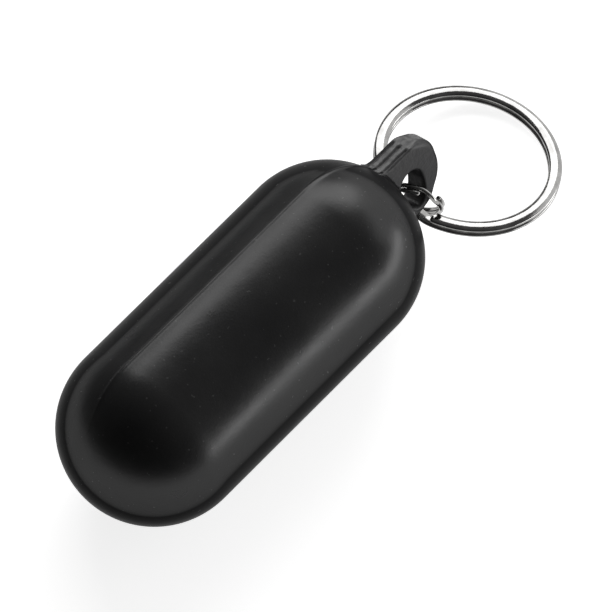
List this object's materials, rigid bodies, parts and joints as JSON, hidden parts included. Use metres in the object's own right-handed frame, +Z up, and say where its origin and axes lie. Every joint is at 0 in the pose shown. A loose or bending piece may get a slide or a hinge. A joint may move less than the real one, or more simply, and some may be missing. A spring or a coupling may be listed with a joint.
{
  "type": "floating keychain",
  "caption": "Foam capsule float with a moulded loop, a small link ring and a split key ring, which keeps dropped keys afloat.",
  "frame": {"origin": "on the underside of the float, on its lowest facet, halfway between the centres of its two domed ends", "axes": "+X along the float towards its loop and rings, +Z up, with the float lying on the plane z = 0"},
  "size_m": [0.1035, 0.032, 0.031],
  "materials": {
    "black_foam": "satin skin",
    "bright_nickel": "polished"
  },
  "bodies": {
    "float": {"float_body": "black_foam"},
    "link": {"link_ring": "bright_nickel"},
    "keys_ring": {"key_ring": "bright_nickel"}
  },
  "joints": [
    {"name": "link_swing", "type": "hinge", "parent": "float", "child": "link", "pos_m": [0.03855, -0.00134, 0.01189], "axis": [1, 0, 0], "range_deg": [-45, 2]},
    {"name": "key_ring_swing", "type": "hinge", "parent": "link", "child": "keys_ring", "pos_m": [0.03897, 0.00033, 0.00789], "axis": [0.1039, 0.9932, -0.0535], "range_deg": [-60, 45]}
  ]
}
